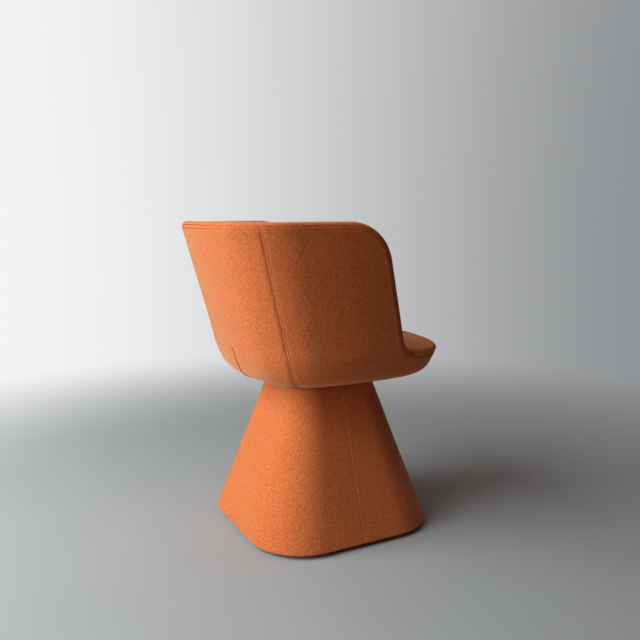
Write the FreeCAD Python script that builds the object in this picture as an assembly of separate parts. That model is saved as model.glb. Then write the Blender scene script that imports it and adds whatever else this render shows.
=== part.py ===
import FreeCAD, Part
import os
from math import atan2, cos, pi, sin, tan

# Upholstered swivel tub chair, in millimetres. The origin is on the floor under the
# swivel axis, Z is up, the sitter looks along -Y and the sitter's right hand is at -X.

# Whole chair
chair_height = 770.0            # floor to the top of the rim
tub_underside = 378.0           # floor to the flat underside of the tub
seat_edge_height = 468.0        # floor to the front edge of the seat
running_gap = 9.0               # pedestal top to tub underside
layer_gap = 0.3                 # left between one layer and the next
overrun = 20.0                  # how far a cutting solid passes what it cuts

# Plan of the tub, measured from the swivel axis
seat_half_width = 252.0
seat_rear = 247.0
seat_front = 280.0
rim_half_width = 268.0
rim_rear = 333.0
tub_corner_share = 0.58         # corner radius over the smaller reach of its quarter
tub_bulge_share = 0.04          # how far each flat side bows out, over its own reach

# Bowl of the tub, from its underside to the seat edge
bowl_height_shares = (0.0, 0.12, 0.33, 0.62, 1.0)
bowl_side_shares = (0.60, 0.786, 0.907, 0.960, 1.0)
bowl_front_shares = (0.42, 0.755, 0.907, 0.967, 1.0)
back_section_shares = (0.04, 0.12, 0.30, 0.50, 0.75, 1.0)
loft_degree = 3

# Front edges of the wings, seen from the side
wing_front_at_seat = 108.0      # forward of the axis, where the edge line meets the seat edge
wing_front_at_rim = 36.0        # forward of the axis, where the edge line meets the rim
wing_corner_radius = 114.0
wing_root_radius = 32.0

# Layers of the tub wall
cover_thick = 2.5
outer_foam_thick = 6.2
shell_thick = 8.7
wall_thick = 41.0
rim_foam_thick = 9.2            # foam over the top edge of the shell
rim_round = 12.0
rim_seam_drop = 12.0            # rim to the seam between the inner and the outer cover
corner_seam_angle = 55.0        # degrees from straight back to the way its plane runs
corner_seam_tilt = 9.6          # degrees, how far that plane leans back towards the rear
corner_seam_axis_height = 276.0 # where that plane crosses the swivel axis

# Seat inside the tub
seat_board_thick = 15.0
seat_crown_rise = 12.0          # middle of the seat above its front edge
seat_front_round = 10.0         # along the top of the seat's front edge
seat_lip_thick = 20.0           # seat over the front wall of the tub

# Fly over the closing seam, low on the back
fly_half_width = 5.0
fly_thick = 1.5
fly_top_height = 474.0
fly_angle = 6.0                 # degrees from straight back, towards the sitter's right

# Pedestal
pedestal_foot_half = 240.0
pedestal_foot_corner = 138.0
pedestal_neck_half = 117.5
pedestal_neck_corner = 66.0
pedestal_clearance = 9.0        # floor to the lower edge of the cover
pedestal_edge_round = 7.0
pedestal_foam_thick = 6.0
skin_thick = 3.0
board_thick = 18.0
rib_thick = 15.0
hem_width = 26.0                # cover turned in under the pedestal
access_hole_radius = 28.0
access_hole_offset = 70.0
dust_cloth_thick = 1.0

# Glides
glide_radius = 15.0
glide_offset = 160.0
glide_chamfer = 2.0

# Swivel bearing
plate_radius = 95.0
hub_opening_radius = 104.0      # opening in cover and foam round the swivel
lower_plate_thick = 3.0
upper_plate_thick = 4.0
ball_radius = 4.0
ball_count = 24
ball_circle = 76.0
race_half_width = 8.0
race_space = 2.8                # between the two races
cage_half_width = 6.5
cage_thick = 1.6
running_clearance = 0.05
king_pin_radius = 6.0
king_pin_flange = 12.0
bush_radius = 9.0
washer_radius = 14.0
washer_thick = 1.5
locknut_radius = 9.5
locknut_height = 8.0
locknut_well_radius = 20.0
pin_thread_spare = 2.0

# Bolts, tee nuts and wood screws
bolt_radius = 3.0
bolt_head_radius = 5.5
bolt_head_height = 3.3
bolt_offset = 36.0              # from the axis, along X and along Y
bolt_hole_clearance = 0.4
tee_nut_barrel = 4.2
tee_nut_flange = 9.0
tee_nut_flange_thick = 1.5
screw_radius = 2.0
screw_head_radius = 4.0
screw_head_height = 2.6
screw_length = 40.0
short_screw_length = 22.0
glide_screw_length = 14.0
rib_screw_offset = 62.0
seat_screw_offset = 80.0

# Heights that follow from the sizes above
pedestal_top = tub_underside - running_gap
board_top = pedestal_top - cover_thick - layer_gap
bottom_board_low = pedestal_clearance + cover_thick + layer_gap
bottom_board_top = bottom_board_low + board_thick
top_board_low = board_top - board_thick
foam_inset = cover_thick + layer_gap
shell_inset = foam_inset + outer_foam_thick + layer_gap
shell_inner = shell_inset + shell_thick
board_inset = shell_inner + layer_gap
seat_board_low = tub_underside + board_inset
seat_floor = seat_board_low + seat_board_thick + layer_gap
shell_underside = tub_underside + shell_inset
shell_rim_drop = foam_inset + rim_foam_thick
race_height = (shell_underside - board_top - lower_plate_thick - upper_plate_thick - race_space) / 2
ball_height = board_top + lower_plate_thick + race_height + race_space / 2
upper_plate_low = shell_underside - upper_plate_thick
seam_height = seat_edge_height - seat_lip_thick

os.makedirs("parts", exist_ok=True)
Vec = FreeCAD.Vector
up = Vec(0, 0, 1)
down = Vec(0, 0, -1)


# Helpers for outlines and plain solids

def save(shape, node):
    shape.exportStep("parts/" + node + ".step")


def join(shapes):
    return Part.makeCompound(shapes)


def disc(radius, low, high, x=0.0, y=0.0):
    return Part.makeCylinder(radius, high - low, Vec(x, y, low), up)


def block(low_x, low_y, low_z, high_x, high_y, high_z):
    return Part.makeBox(high_x - low_x, high_y - low_y, high_z - low_z, Vec(low_x, low_y, low_z))


def ring(outer, inner, low, high):
    return disc(outer, low, high).cut(disc(inner, low - overrun, high + overrun))


def four_places(offset):
    return [(side * offset, end * offset) for side in (-1, 1) for end in (-1, 1)]


def quarter(half_width, reach, inset, way_x, way_y, z):
    """Points of a quarter of the tub's plan: a side arc, a corner arc and an end arc,
    tangent to each other, drawn in by inset."""
    corner = tub_corner_share * min(half_width, reach)
    side_bulge = tub_bulge_share * half_width
    end_bulge = tub_bulge_share * reach
    x = half_width - side_bulge - corner
    y = reach - end_bulge - corner
    side = ((half_width - x) ** 2 + y ** 2 - corner ** 2) / (2 * side_bulge)
    end = ((reach - y) ** 2 + x ** 2 - corner ** 2) / (2 * end_bulge)
    side_turn = atan2(y, x - half_width + side)
    end_turn = atan2(y - reach + end, x)

    def point(from_x, from_y, radius, turn):
        along = from_x + (radius - inset) * cos(turn)
        across = from_y + (radius - inset) * sin(turn)
        return Vec(way_x * along, way_y * across, z)

    return (point(half_width - side, 0, side, 0),
            point(half_width - side, 0, side, side_turn / 2),
            point(half_width - side, 0, side, side_turn),
            point(x, y, corner, (side_turn + end_turn) / 2),
            point(0, reach - end, end, end_turn),
            point(0, reach - end, end, pi / 2))


def tub_outline(half_width, rear, front, inset, z):
    """Closed outline of the tub at one height, with ten arcs."""
    left_rear = quarter(half_width, rear, inset, 1, 1, z)
    right_rear = quarter(half_width, rear, inset, -1, 1, z)
    right_front = quarter(half_width, front, inset, -1, -1, z)
    left_front = quarter(half_width, front, inset, 1, -1, z)
    arcs = [(left_rear[0], left_rear[1], left_rear[2]),
            (left_rear[2], left_rear[3], left_rear[4]),
            (left_rear[4], left_rear[5], right_rear[4]),
            (right_rear[4], right_rear[3], right_rear[2]),
            (right_rear[2], right_rear[1], right_rear[0]),
            (right_front[0], right_front[1], right_front[2]),
            (right_front[2], right_front[3], right_front[4]),
            (right_front[4], right_front[5], left_front[4]),
            (left_front[4], left_front[3], left_front[2]),
            (left_front[2], left_front[1], left_front[0])]
    return Part.Wire([Part.Arc(a, b, c).toShape() for a, b, c in arcs])


def tub_block(inset, floor_inset, top):
    """The tub as a filled block: its outer surface drawn in by inset, its floor raised by
    floor_inset, cut off level at top."""
    floor = tub_underside + floor_inset
    outlines = []
    for height, side, front in zip(bowl_height_shares, bowl_side_shares, bowl_front_shares):
        z = floor + (seat_edge_height - floor) * height
        outlines.append(tub_outline(seat_half_width * side, seat_rear * side, seat_front * front, inset, z))
    for share in back_section_shares:
        z = seat_edge_height + (top - seat_edge_height) * share
        flare = (z - seat_edge_height) / (chair_height - seat_edge_height)
        half_width = seat_half_width + (rim_half_width - seat_half_width) * flare
        rear = seat_rear + (rim_rear - seat_rear) * flare
        outlines.append(tub_outline(half_width, rear, seat_front, inset, z))
    return Part.makeLoft(outlines, True, False, False, loft_degree)


def rounded_corner(before, corner, after, radius):
    """Start, middle and end of the arc that rounds a corner."""
    to_before = (before - corner).normalize()
    to_after = (after - corner).normalize()
    half = to_before.getAngle(to_after) / 2
    middle_way = (to_before + to_after).normalize()
    centre = corner + middle_way * (radius / sin(half))
    return (corner + to_before * (radius / tan(half)), centre - middle_way * radius,
            corner + to_after * (radius / tan(half)))


def front_opening(inset, sill_height):
    """What is cut away in front of the wings, drawn in by inset, and above sill_height in
    front of them. Also gives how far forward the wings reach."""
    lean = atan2(wing_front_at_seat - wing_front_at_rim, chair_height - seat_edge_height)
    back_off = inset / cos(lean)
    rim = chair_height - inset
    root = seat_edge_height - inset

    def edge_point(z):
        return Vec(0, -(wing_front_at_rim - back_off + (chair_height - z) * tan(lean)), z)

    behind = Vec(0, edge_point(rim).y + 2 * wing_corner_radius, rim)
    forward = Vec(0, edge_point(root).y - 2 * wing_root_radius, root)
    corner = wing_corner_radius - inset
    hollow = wing_root_radius + inset
    top_start, top_mid, top_end = rounded_corner(behind, edge_point(rim), edge_point(root), corner)
    foot_start, foot_mid, foot_end = rounded_corner(edge_point(rim), edge_point(root), forward, hollow)
    sill = Vec(0, foot_end.y, sill_height)
    far = -(seat_front + overrun)
    high = chair_height + overrun
    edges = [Part.makeLine(Vec(0, top_start.y, high), top_start),
             Part.Arc(top_start, top_mid, top_end).toShape(),
             Part.makeLine(top_end, foot_start),
             Part.Arc(foot_start, foot_mid, foot_end).toShape(),
             Part.makeLine(foot_end, sill),
             Part.makeLine(sill, Vec(0, far, sill_height)),
             Part.makeLine(Vec(0, far, sill_height), Vec(0, far, high)),
             Part.makeLine(Vec(0, far, high), Vec(0, top_start.y, high))]
    reach = rim_half_width + overrun
    cutter = Part.Face(Part.Wire(edges)).extrude(Vec(2 * reach, 0, 0))
    cutter.translate(Vec(-reach, 0, 0))
    return cutter, foot_end.y


def cavity(inset):
    """The room inside the tub wall, above the seat board."""
    reach = rim_rear + overrun
    room = tub_block(inset, board_inset, chair_height + overrun)
    return room.cut(block(-reach, -reach, 0, reach, reach, seat_floor))


def tub_wall(outer_inset, inside, rim_drop):
    """The open tub round its inside, with its front opening."""
    outside = tub_block(outer_inset, outer_inset, chair_height - rim_drop)
    return outside.cut(inside).cut(front_opening(rim_drop, seam_height - rim_drop)[0])


def round_rim(wall, radius):
    """Both long edges of the rim and the wings, rounded."""
    edges = []
    for edge in wall.Edges:
        box = edge.BoundBox
        if box.ZMin > seat_edge_height - radius / 4 and box.YLength > layer_gap:
            edges.append(edge)
    return wall.makeFillet(radius, edges)


def seat_block(inset):
    """The seat: the filled inside of the tub and a lip over the front edge, under a crown."""
    inside = cavity(wall_thick + layer_gap + inset)
    sill = front_opening(0, seam_height)[1] - layer_gap - inset
    lip = tub_block(inset, inset, chair_height)
    reach = seat_front + overrun
    lip = lip.common(block(-reach, -reach, seam_height + layer_gap + inset, reach, sill, chair_height))
    radius = (seat_front ** 2 + seat_crown_rise ** 2) / (2 * seat_crown_rise)
    crown = Part.makeSphere(radius - inset, Vec(0, 0, seat_edge_height + seat_crown_rise - radius))
    seat = inside.fuse(lip).common(crown)
    edges = []
    for edge in seat.Edges:
        box = edge.BoundBox
        in_front = box.YMax < sill + layer_gap and box.YLength > layer_gap
        if in_front and box.ZMin > seat_edge_height - 2 * cover_thick:
            edges.append(edge)
    return seat.makeFillet(seat_front_round - inset, edges)


def screw(x, y, z, way, length):
    """Countersunk wood screw with its head's face at z, pointing along way."""
    place = Vec(x, y, z)
    head = Part.makeCone(screw_head_radius, screw_radius, screw_head_height, place, way)
    return head.fuse(Part.makeCylinder(screw_radius, length, place, way))


def screw_hole(x, y, z, way, length):
    place = Vec(x, y, z) - way * overrun
    shank = Part.makeCylinder(screw_radius + layer_gap, length + layer_gap + overrun, place, way)
    head = Part.makeCone(screw_head_radius + layer_gap, screw_radius + layer_gap,
                         screw_head_height + layer_gap, Vec(x, y, z), way)
    return shank.fuse(head)


def drill(shape, places, radius, low, high):
    for x, y in places:
        shape = shape.cut(disc(radius, low, high, x, y))
    return shape


def tee_nut(x, y, face, way):
    """Tee nut whose flange's outer face is at the height face, with its barrel along way."""
    place = Vec(x, y, face)
    nut = Part.makeCylinder(tee_nut_flange, tee_nut_flange_thick, place, way)
    nut = nut.fuse(Part.makeCylinder(tee_nut_barrel, board_thick / 2, place, way))
    bore = Part.makeCylinder(bolt_radius + running_clearance, 2 * board_thick, place - way * overrun, way)
    return nut.cut(bore)


def bolt(x, y, face, way, length):
    """Button-head bolt whose head sits on face, with its shank along way."""
    top = Vec(x, y, face) - way * bolt_head_height
    head = Part.makeCylinder(bolt_head_radius, bolt_head_height, top, way)
    edges = [edge for edge in head.Edges if abs(edge.CenterOfMass.z - top.z) < layer_gap]
    head = head.makeFillet(bolt_head_height / 2, edges)
    return head.fuse(Part.makeCylinder(bolt_radius, length, Vec(x, y, face), way))


# Pedestal

def pedestal_outline(inset, z):
    """Rounded square of the pedestal at one height, drawn in by inset."""
    share = (z - pedestal_clearance) / (pedestal_top - pedestal_clearance)
    half = pedestal_foot_half + (pedestal_neck_half - pedestal_foot_half) * share
    corner = pedestal_foot_corner + (pedestal_neck_corner - pedestal_foot_corner) * share
    flat = half - corner
    reach = half - inset
    bend = flat + (corner - inset) * cos(pi / 4)
    edges = []
    for way in range(4):
        turn = FreeCAD.Rotation(up, 90 * way)
        places = ((reach, -flat), (reach, flat), (bend, bend), (flat, reach))
        points = [turn.multVec(Vec(*place, z)) for place in places]
        edges.append(Part.makeLine(points[0], points[1]))
        edges.append(Part.Arc(points[1], points[2], points[3]).toShape())
    return Part.Wire(edges)


def pedestal_block(inset, low, high):
    return Part.makeLoft([pedestal_outline(inset, low), pedestal_outline(inset, high)], True, True)


def pedestal_cover():
    """Sewn cover, turned in under the foot and over the top, in a front and a rear half that
    meet in a seam down the middle of each side."""
    outside = pedestal_block(0, pedestal_clearance, pedestal_top)
    foot_edges = [edge for edge in outside.Edges if edge.BoundBox.ZMax < pedestal_clearance + layer_gap]
    outside = outside.makeFillet(pedestal_edge_round, foot_edges)
    inside = pedestal_block(cover_thick, pedestal_clearance + cover_thick, pedestal_top - cover_thick)
    foot = pedestal_clearance + cover_thick + layer_gap
    foot_edges = [edge for edge in inside.Edges if edge.BoundBox.ZMax < foot]
    inside = inside.makeFillet(pedestal_edge_round - cover_thick, foot_edges)
    cover = outside.cut(inside)
    cover = cover.cut(disc(hub_opening_radius, pedestal_top - overrun, pedestal_top + overrun))
    opening = Part.Face(pedestal_outline(hem_width, pedestal_clearance))
    cover = cover.cut(opening.extrude(up * overrun))
    half_slit = layer_gap / 2
    reach = pedestal_foot_half + overrun
    rear = cover.common(block(-reach, half_slit, 0, reach, reach, chair_height))
    front = cover.common(block(-reach, -reach, 0, reach, -half_slit, chair_height))
    return front, rear


def pedestal_foam():
    low = bottom_board_low
    outside = pedestal_block(foam_inset, low, board_top)
    foot_edges = [edge for edge in outside.Edges if edge.BoundBox.ZMax < low + layer_gap]
    outside = outside.makeFillet(pedestal_edge_round - foam_inset, foot_edges)
    inset = foam_inset + pedestal_foam_thick
    return outside.cut(pedestal_block(inset, low - layer_gap, board_top + layer_gap))


def base_skin():
    inset = foam_inset + pedestal_foam_thick + layer_gap
    low = bottom_board_low
    outside = pedestal_block(inset, low, board_top)
    return outside.cut(pedestal_block(inset + skin_thick, low - layer_gap, board_top + layer_gap))


frame_inset = foam_inset + pedestal_foam_thick + skin_thick + 2 * layer_gap
glide_places = four_places(glide_offset)
bolt_places = four_places(bolt_offset)
rib_screw_places = [(way * rib_screw_offset, 0) for way in (1, -1)]
rib_screw_places += [(0, way * rib_screw_offset) for way in (1, -1)]


def bottom_board():
    board = pedestal_block(frame_inset, bottom_board_low, bottom_board_top)
    board = drill(board, four_places(access_hole_offset), access_hole_radius, 0, chair_height)
    for x, y in rib_screw_places:
        board = board.cut(screw_hole(x, y, bottom_board_low, up, screw_length))
    for x, y in glide_places:
        board = board.cut(screw_hole(x, y, bottom_board_low, up, glide_screw_length))
    return board


def top_board():
    board = pedestal_block(frame_inset, top_board_low, board_top)
    low = top_board_low - overrun
    board = drill(board, bolt_places, bolt_radius + bolt_hole_clearance, low, chair_height)
    nut_top = top_board_low + board_thick / 2 + layer_gap
    board = drill(board, bolt_places, tee_nut_barrel + layer_gap, low, nut_top)
    flange_top = top_board_low + tee_nut_flange_thick + layer_gap
    board = drill(board, bolt_places, tee_nut_flange + layer_gap, low, flange_top)
    for x, y in rib_screw_places:
        board = board.cut(screw_hole(x, y, board_top, down, screw_length))
    return board


def ribs():
    """Two upright ribs across the pedestal, half-lapped where they cross."""
    low = bottom_board_top + layer_gap
    high = top_board_low - layer_gap
    middle = (low + high) / 2
    body = pedestal_block(frame_inset, low, high)
    half = rib_thick / 2
    slot = half + layer_gap
    reach = pedestal_foot_half + overrun
    along = body.common(block(-reach, -half, low, reach, half, high))
    along = along.cut(block(-slot, -reach, middle, slot, reach, high + overrun))
    across = body.common(block(-half, -reach, low, half, reach, high))
    across = across.cut(block(-reach, -slot, low - overrun, reach, slot, middle + layer_gap))
    for x, y in rib_screw_places:
        for z, way in ((bottom_board_low, up), (board_top, down)):
            hole = screw_hole(x, y, z, way, screw_length)
            along = along.cut(hole)
            across = across.cut(hole)
    return along, across


def dust_cloth():
    outline = Part.Face(pedestal_outline(hem_width + layer_gap, pedestal_clearance))
    cloth = outline.extrude(up * dust_cloth_thick)
    cloth.translate(up * (bottom_board_low - layer_gap - dust_cloth_thick - pedestal_clearance))
    for x, y in glide_places:
        cloth = cloth.cut(disc(glide_radius + layer_gap, 0, bottom_board_low, x, y))
    for x, y in rib_screw_places:
        cloth = cloth.cut(disc(screw_head_radius, 0, bottom_board_low, x, y))
    return cloth


def glides():
    """Turned plastic glides, each on one screw up into the bottom board."""
    top = bottom_board_low
    pads = []
    screws = []
    for x, y in glide_places:
        pad = disc(glide_radius, 0, top, x, y)
        foot = [edge for edge in pad.Edges if edge.BoundBox.ZMax < layer_gap]
        pad = pad.makeChamfer(glide_chamfer, foot)
        head_face = glide_chamfer + screw_head_height
        pads.append(pad.cut(screw_hole(x, y, head_face, up, screw_length)))
        screws.append(screw(x, y, head_face, up, top - head_face + glide_screw_length - layer_gap))
    return join(pads), join(screws)


def frame_screws():
    low = [screw(x, y, bottom_board_low, up, screw_length) for x, y in rib_screw_places]
    high = [screw(x, y, board_top, down, screw_length) for x, y in rib_screw_places]
    return join(low + high)


front_cover, rear_cover = pedestal_cover()
rib_along, rib_across = ribs()
glide_pads, glide_screws = glides()
save(front_cover, "base_cover_front")
save(rear_cover, "base_cover_rear")
save(pedestal_foam(), "base_foam")
save(base_skin(), "base_skin")
save(bottom_board(), "base_bottom_board")
save(top_board(), "base_top_board")
save(rib_along, "base_rib_along")
save(rib_across, "base_rib_across")
save(dust_cloth(), "base_dust_cloth")
save(glide_pads, "glides")
save(glide_screws, "glide_screws")
save(frame_screws(), "base_frame_screws")


# Swivel bearing: a lower plate bolted to the pedestal, an upper plate bolted to the tub,
# and caged balls between two grooved races

def ball_track():
    return Part.makeTorus(ball_circle, ball_radius + running_clearance, Vec(0, 0, ball_height), up)


def lower_plate():
    plate = disc(plate_radius, board_top, board_top + lower_plate_thick)
    plate = plate.cut(disc(king_pin_radius + running_clearance, 0, chair_height))
    plate = drill(plate, bolt_places, bolt_radius + bolt_hole_clearance, 0, chair_height)
    for x, y in rib_screw_places:
        plate = plate.cut(disc(screw_head_radius + layer_gap, 0, chair_height, x, y))
    return plate


def upper_plate():
    plate = disc(plate_radius, upper_plate_low, shell_underside - layer_gap)
    plate = plate.cut(disc(bush_radius + running_clearance, 0, chair_height))
    return drill(plate, bolt_places, bolt_radius + bolt_hole_clearance, 0, chair_height)


def races():
    outer = ball_circle + race_half_width
    inner = ball_circle - race_half_width
    low = board_top + lower_plate_thick
    lower = ring(outer, inner, low, low + race_height).cut(ball_track())
    upper = ring(outer, inner, upper_plate_low - race_height, upper_plate_low).cut(ball_track())
    return lower, upper


def caged_balls():
    balls = []
    low = ball_height - cage_thick / 2
    cage = ring(ball_circle + cage_half_width, ball_circle - cage_half_width, low, low + cage_thick)
    for number in range(ball_count):
        turn = 2 * pi * number / ball_count
        place = Vec(ball_circle * cos(turn), ball_circle * sin(turn), ball_height)
        balls.append(Part.makeSphere(ball_radius, place))
        cage = cage.cut(Part.makeSphere(ball_radius + running_clearance, place))
    return join(balls), cage


def king_pin():
    """Pin riveted in the lower plate, with a washer and a lock nut over the upper plate."""
    washer_low = shell_underside
    nut_low = washer_low + washer_thick
    top = nut_low + locknut_height + pin_thread_spare
    pin = disc(king_pin_radius, board_top, top)
    collar_low = board_top + lower_plate_thick
    pin = pin.fuse(disc(king_pin_flange, collar_low, collar_low + lower_plate_thick))
    bore = king_pin_radius + running_clearance
    washer = ring(washer_radius, bore, washer_low, nut_low)
    corners = []
    for side in range(7):
        turn = side * pi / 3
        corners.append(Vec(locknut_radius * cos(turn), locknut_radius * sin(turn), nut_low))
    nut = Part.Face(Part.makePolygon(corners)).extrude(up * locknut_height)
    nut = nut.cut(disc(bore, 0, chair_height))
    bush_low = upper_plate_low
    bush = ring(bush_radius, bore, bush_low, shell_underside - layer_gap)
    return pin, washer, nut, bush


def tub_bolts():
    face = upper_plate_low
    nut_face = seat_board_low + seat_board_thick
    length = nut_face - tee_nut_flange_thick - face
    bolts = [bolt(x, y, face, up, length) for x, y in bolt_places]
    nuts = [tee_nut(x, y, nut_face, down) for x, y in bolt_places]
    return join(bolts), join(nuts)


def pedestal_bolts():
    face = board_top + lower_plate_thick
    length = face - top_board_low - tee_nut_flange_thick
    bolts = [bolt(x, y, face, down, length) for x, y in bolt_places]
    nuts = [tee_nut(x, y, top_board_low, up) for x, y in bolt_places]
    return join(bolts), join(nuts)


lower_race, upper_race = races()
balls, cage = caged_balls()
pin, pin_washer, pin_locknut, pin_bush = king_pin()
lower_bolts, lower_nuts = pedestal_bolts()
upper_bolts, upper_nuts = tub_bolts()
save(lower_plate(), "swivel_lower_plate")
save(upper_plate(), "swivel_upper_plate")
save(lower_race, "lower_race")
save(upper_race, "upper_race")
save(balls, "bearing_balls")
save(cage, "ball_cage")
save(pin, "king_pin")
save(pin_washer, "pin_washer")
save(pin_locknut, "pin_locknut")
save(pin_bush, "pin_bush")
save(lower_bolts, "lower_plate_bolts")
save(lower_nuts, "lower_tee_nuts")
save(upper_bolts, "upper_plate_bolts")
save(upper_nuts, "upper_tee_nuts")


# Tub: a moulded shell with a seat board in it, foam all round it, and a sewn cover

seat_screw_places = four_places(seat_screw_offset)


def shell_frame():
    inside = tub_block(shell_inner, shell_inner, chair_height + overrun)
    wall = tub_wall(shell_inset, inside, shell_rim_drop + layer_gap)
    wall = drill(wall, bolt_places, bolt_radius + bolt_hole_clearance, 0, chair_height)
    for x, y in seat_screw_places:
        wall = wall.cut(screw_hole(x, y, shell_underside, up, short_screw_length))
    return wall.cut(disc(locknut_well_radius, 0, chair_height))


def seat_board():
    board = tub_block(board_inset, board_inset, chair_height)
    high = seat_board_low + seat_board_thick
    reach = rim_rear + overrun
    board = board.common(block(-reach, -reach, seat_board_low - overrun, reach, reach, high))
    board = board.cut(disc(locknut_well_radius, 0, chair_height))
    board = drill(board, bolt_places, bolt_radius + bolt_hole_clearance, 0, chair_height)
    barrel_low = high - board_thick / 2 - layer_gap
    flange_low = high - tee_nut_flange_thick - layer_gap
    board = drill(board, bolt_places, tee_nut_barrel + layer_gap, barrel_low, chair_height)
    board = drill(board, bolt_places, tee_nut_flange + layer_gap, flange_low, chair_height)
    for x, y in seat_screw_places:
        board = board.cut(screw_hole(x, y, shell_underside, up, short_screw_length))
    return board


def tub_foam(wall):
    """Foam moulded round the shell: thin outside, thick inside, and over the rim."""
    room = shell_inset - layer_gap
    pocket = tub_block(room, room, chair_height - shell_rim_drop)
    pocket = pocket.cut(cavity(board_inset))
    pocket = pocket.cut(front_opening(shell_rim_drop, seam_height - shell_rim_drop)[0])
    return wall.cut(pocket).cut(disc(hub_opening_radius, 0, shell_underside))


def outside_of_seam(drop):
    """The outer half of the wall, up to the seam that runs drop inside the rim."""
    outer = tub_block(-overrun, -overrun, chair_height + overrun)
    outer = outer.cut(tub_block(wall_thick / 2, wall_thick / 2, chair_height + 2 * overrun))
    outer = outer.cut(front_opening(drop, seam_height + 2 * layer_gap)[0])
    reach = rim_rear + 2 * overrun
    behind = block(-reach, -reach, chair_height - drop, reach, reach, chair_height + 2 * overrun)
    return outer.cut(behind)


def tub_cover(whole, inside):
    """Sewn cover, in an inner part that turns over the rim and three outer panels."""
    cover = whole.cut(inside).cut(disc(hub_opening_radius, 0, shell_underside))
    outer = cover.common(outside_of_seam(rim_seam_drop))
    inner = cover.cut(outside_of_seam(rim_seam_drop - layer_gap))
    reach = rim_rear + 2 * overrun
    half = layer_gap / 2
    slits = [block(-half, -reach, 0, half, 0, chair_height)]
    for side in (-1, 1):
        slit = block(-half, 0, -reach, half, reach, 2 * chair_height)
        slit.rotate(Vec(0, 0, corner_seam_axis_height), Vec(0, 1, 0), side * corner_seam_tilt)
        slit.rotate(Vec(0, 0, 0), up, side * corner_seam_angle)
        slits.append(slit)
    for slit in slits:
        outer = outer.cut(slit)
    panels = sorted(outer.Solids, key=lambda solid: -solid.Volume)[:3]
    rear = max(panels, key=lambda solid: solid.CenterOfMass.y)
    left = max(panels, key=lambda solid: solid.CenterOfMass.x)
    return inner, rear, left, left.mirror(Vec(0, 0, 0), Vec(1, 0, 0))


def closing_fly():
    """Flat fly over the closing seam in the rear panel."""
    strip = tub_block(-layer_gap - fly_thick, -layer_gap - fly_thick, chair_height)
    strip = strip.cut(tub_block(-layer_gap, -layer_gap, chair_height + overrun))
    place = block(-fly_half_width, 0, tub_underside, fly_half_width, rim_rear, fly_top_height)
    place.rotate(Vec(0, 0, 0), up, fly_angle)
    return strip.common(place)


def seat_pad_and_cover():
    whole = seat_block(0)
    pad = seat_block(cover_thick + layer_gap)
    cover = whole.cut(seat_block(cover_thick))
    return pad, cover


def seat_screws():
    length = short_screw_length - layer_gap
    return join([screw(x, y, shell_underside, up, length) for x, y in seat_screw_places])


whole = round_rim(tub_wall(0, cavity(wall_thick), 0), rim_round)
inside = round_rim(tub_wall(cover_thick, cavity(wall_thick - cover_thick), cover_thick),
                   rim_round - cover_thick)
foam_wall = round_rim(tub_wall(foam_inset, cavity(wall_thick - foam_inset), foam_inset),
                      rim_round - foam_inset)
inner_cover, outer_rear, outer_left, outer_right = tub_cover(whole, inside)
seat_pad, seat_cover = seat_pad_and_cover()
save(shell_frame(), "shell_frame")
save(seat_board(), "seat_board")
save(seat_screws(), "seat_board_screws")
save(tub_foam(foam_wall), "tub_foam")
save(inner_cover, "inner_cover")
save(outer_rear, "outer_cover_rear")
save(outer_left, "outer_cover_left")
save(outer_right, "outer_cover_right")
save(closing_fly(), "closing_fly")
save(seat_pad, "seat_pad")
save(seat_cover, "seat_cover")
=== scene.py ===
import bmesh
import bpy
import numpy as np
from math import cos, pi, radians, sin, tan
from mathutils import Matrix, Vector, kdtree, noise
from mathutils.geometry import delaunay_2d_cdt


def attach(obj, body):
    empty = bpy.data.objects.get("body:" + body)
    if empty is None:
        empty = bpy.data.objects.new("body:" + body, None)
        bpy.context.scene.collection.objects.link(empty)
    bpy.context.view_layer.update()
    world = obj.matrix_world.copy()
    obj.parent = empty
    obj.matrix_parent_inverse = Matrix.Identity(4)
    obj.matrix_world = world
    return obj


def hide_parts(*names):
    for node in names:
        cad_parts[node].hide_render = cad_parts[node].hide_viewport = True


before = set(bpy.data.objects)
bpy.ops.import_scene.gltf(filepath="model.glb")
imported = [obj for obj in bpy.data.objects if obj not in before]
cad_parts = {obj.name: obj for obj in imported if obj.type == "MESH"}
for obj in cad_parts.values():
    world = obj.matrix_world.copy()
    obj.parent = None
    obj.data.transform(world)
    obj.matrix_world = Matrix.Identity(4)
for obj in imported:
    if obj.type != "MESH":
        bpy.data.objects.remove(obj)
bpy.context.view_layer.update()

scene = bpy.context.scene
scene.view_settings.view_transform = "Standard"


def add_object(name, data):
    new = bpy.data.objects.new(name, data)
    scene.collection.objects.link(new)
    return new


# The camera stands behind the chair and to the sitter's right, at the height of the rim, and
# looks a little down. All lengths in this file are in metres.
camera_data = bpy.data.cameras.new("camera")
camera_data.lens = 39.2
camera_data.sensor_width = 36.0
camera = add_object("camera", camera_data)
camera.location = (-1.5674, 0.8291, 0.777)
image_left = Vector((0.46947, 0.88295, 0))
toward_camera = Vector((-0.88295, 0.46947, 0))
look_down = radians(8.32)
view_way = Vector((0, 0, -sin(look_down))) - toward_camera * cos(look_down)
camera.rotation_euler = view_way.to_track_quat("-Z", "Y").to_euler()
scene.camera = camera


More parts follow.
